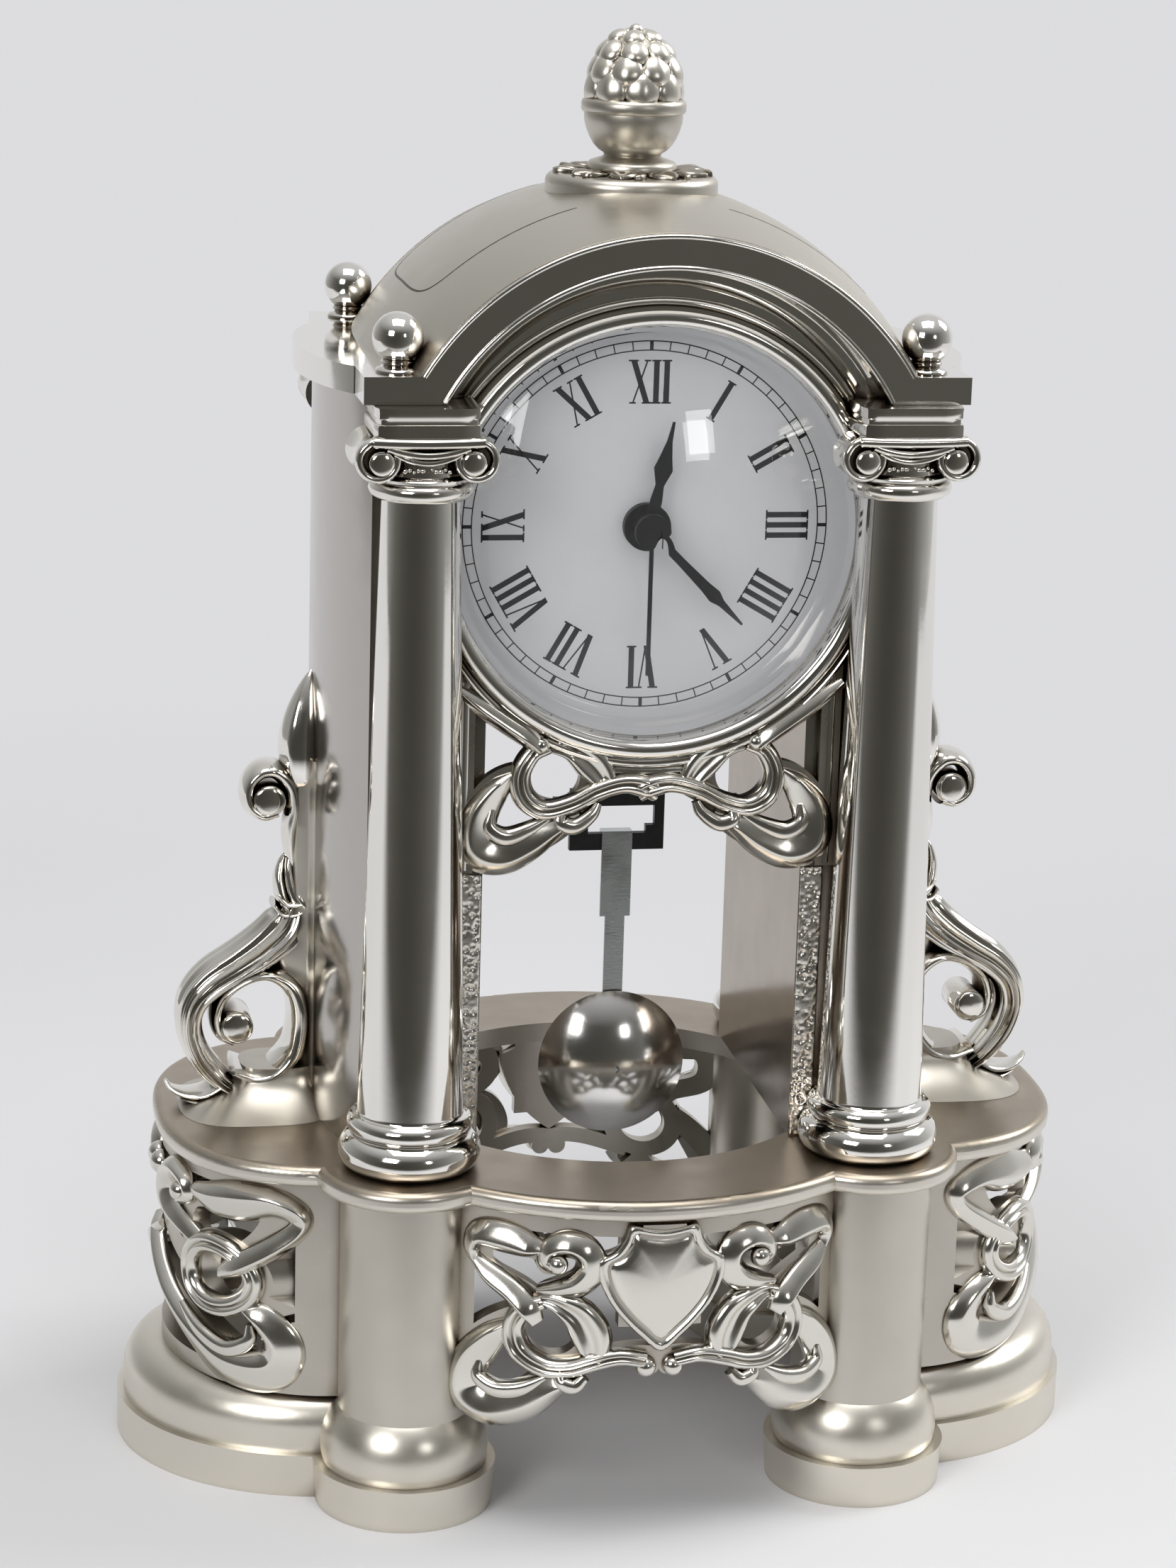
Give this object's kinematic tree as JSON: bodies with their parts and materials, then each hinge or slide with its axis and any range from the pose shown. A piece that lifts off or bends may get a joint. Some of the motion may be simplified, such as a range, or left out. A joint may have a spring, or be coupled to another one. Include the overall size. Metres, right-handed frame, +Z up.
{
  "type": "desk pendulum clock",
  "caption": "Silver desk clock with columned case on a pierced base, domed glass over a Roman dial, arched roof with cone finial, scroll brackets and a swinging pendulum.",
  "frame": {"origin": "middle of the footprint on the surface that the clock stands on", "axes": "+Z up, front and dial towards -Y, +X to the right seen from the front"},
  "size_m": [0.174, 0.116, 0.25],
  "materials": {
    "satin_silver": "satin silver with a warm patina",
    "polished_silver": "polished silver",
    "glass": "clear dome",
    "dial_white": "white, printed in black",
    "black_metal": "satin black",
    "black_plastic": "moulded",
    "gear_plastic": "moulded",
    "magnet": "plain",
    "coil": "wound",
    "board": "etched board",
    "cell": "plain dry cell",
    "contact": "plated spring strip",
    "strip_steel": "rolled strip"
  },
  "bodies": {
    "case": {"base_deck": "satin_silver", "battery_contacts": "contact", "bezel": "polished_silver", "circuit_board": "board", "corner_balls": "polished_silver", "dial_fascia": "polished_silver", "dial_plate": "dial_white", "dome_glass": "glass", "finial_cone": "polished_silver", "finial_cup": "satin_silver", "finial_disc": "satin_silver", "fixing_nut": "black_metal", "front_apron": "polished_silver", "front_arch": "polished_silver", "front_left_capital": "polished_silver", "front_left_column": "polished_silver", "front_left_pedestal": "satin_silver", "front_right_capital": "polished_silver", "front_right_column": "polished_silver", "front_right_pedestal": "satin_silver", "left_bracket": "polished_silver", "left_cornice": "satin_silver", "left_panel": "polished_silver", "left_plinth": "satin_silver", "left_wall": "satin_silver", "motor_coil": "coil", "movement_case": "black_plastic", "movement_cover": "black_plastic", "rear_apron": "polished_silver", "rear_arch": "polished_silver", "rear_fascia": "satin_silver", "rear_left_capital": "polished_silver", "rear_left_column": "polished_silver", "rear_left_pedestal": "satin_silver", "rear_right_capital": "polished_silver", "rear_right_column": "polished_silver", "rear_right_pedestal": "satin_silver", "right_bracket": "polished_silver", "right_cornice": "satin_silver", "right_panel": "polished_silver", "right_plinth": "satin_silver", "right_wall": "satin_silver", "roof_shell": "satin_silver", "train_bridge": "black_plastic"},
    "second_hand": {"second_hand": "black_metal", "second_wheel": "gear_plastic"},
    "minute_hand": {"minute_hand": "black_metal", "centre_wheel": "gear_plastic"},
    "hour_hand": {"hour_hand": "black_metal", "hour_wheel": "gear_plastic"},
    "third_wheel": {"third_wheel": "gear_plastic"},
    "intermediate_wheel": {"intermediate_wheel": "gear_plastic"},
    "rotor": {"rotor": "magnet"},
    "motion_wheel": {"motion_wheel": "gear_plastic"},
    "pendulum": {"pendulum_hanger": "black_plastic", "pendulum_rod": "strip_steel", "pendulum_bob": "polished_silver"},
    "rear_cover": {"rear_cover": "satin_silver"},
    "battery": {"battery": "cell"}
  },
  "joints": [
    {"name": "second_spin", "type": "hinge", "parent": "case", "child": "second_hand", "pos_m": [0, -0.0124, 0.168], "axis": [0, 1, 0], "continuous": true},
    {"name": "minute_spin", "type": "hinge", "parent": "case", "child": "minute_hand", "pos_m": [0, -0.0152, 0.168], "axis": [0, 1, 0], "continuous": true},
    {"name": "hour_spin", "type": "hinge", "parent": "case", "child": "hour_hand", "pos_m": [0, -0.018, 0.168], "axis": [0, 1, 0], "continuous": true},
    {"name": "third_spin", "type": "hinge", "parent": "case", "child": "third_wheel", "pos_m": [0.00935, -0.0138, 0.1734], "axis": [0, 1, 0], "continuous": true},
    {"name": "intermediate_spin", "type": "hinge", "parent": "case", "child": "intermediate_wheel", "pos_m": [-0.0105, -0.011, 0.168], "axis": [0, 1, 0], "continuous": true},
    {"name": "rotor_spin", "type": "hinge", "parent": "case", "child": "rotor", "pos_m": [-0.01513, -0.009, 0.17352], "axis": [0, 1, 0], "continuous": true},
    {"name": "motion_spin", "type": "hinge", "parent": "case", "child": "motion_wheel", "pos_m": [0.00778, -0.0165, 0.16022], "axis": [0, 1, 0], "continuous": true},
    {"name": "pendulum_swing", "type": "hinge", "parent": "case", "child": "pendulum", "pos_m": [0, -0.0045, 0.152], "axis": [0, 1, 0], "range_deg": [-7, 7]},
    {"name": "rear_cover_pull", "type": "slide", "parent": "case", "child": "rear_cover", "axis": [0, 1, 0], "range_m": [0, 0.03]},
    {"name": "battery_out", "type": "slide", "parent": "case", "child": "battery", "axis": [0, 1, 0], "range_m": [0, 0.02]}
  ],
  "couplings": [
    {"joint": "minute_spin", "follows": "second_spin", "ratio": 0.016667},
    {"joint": "hour_spin", "follows": "second_spin", "ratio": 0.0013889},
    {"joint": "third_spin", "follows": "second_spin", "ratio": -0.125},
    {"joint": "intermediate_spin", "follows": "second_spin", "ratio": -6},
    {"joint": "rotor_spin", "follows": "second_spin", "ratio": 30},
    {"joint": "motion_spin", "follows": "second_spin", "ratio": -0.0055556}
  ]
}
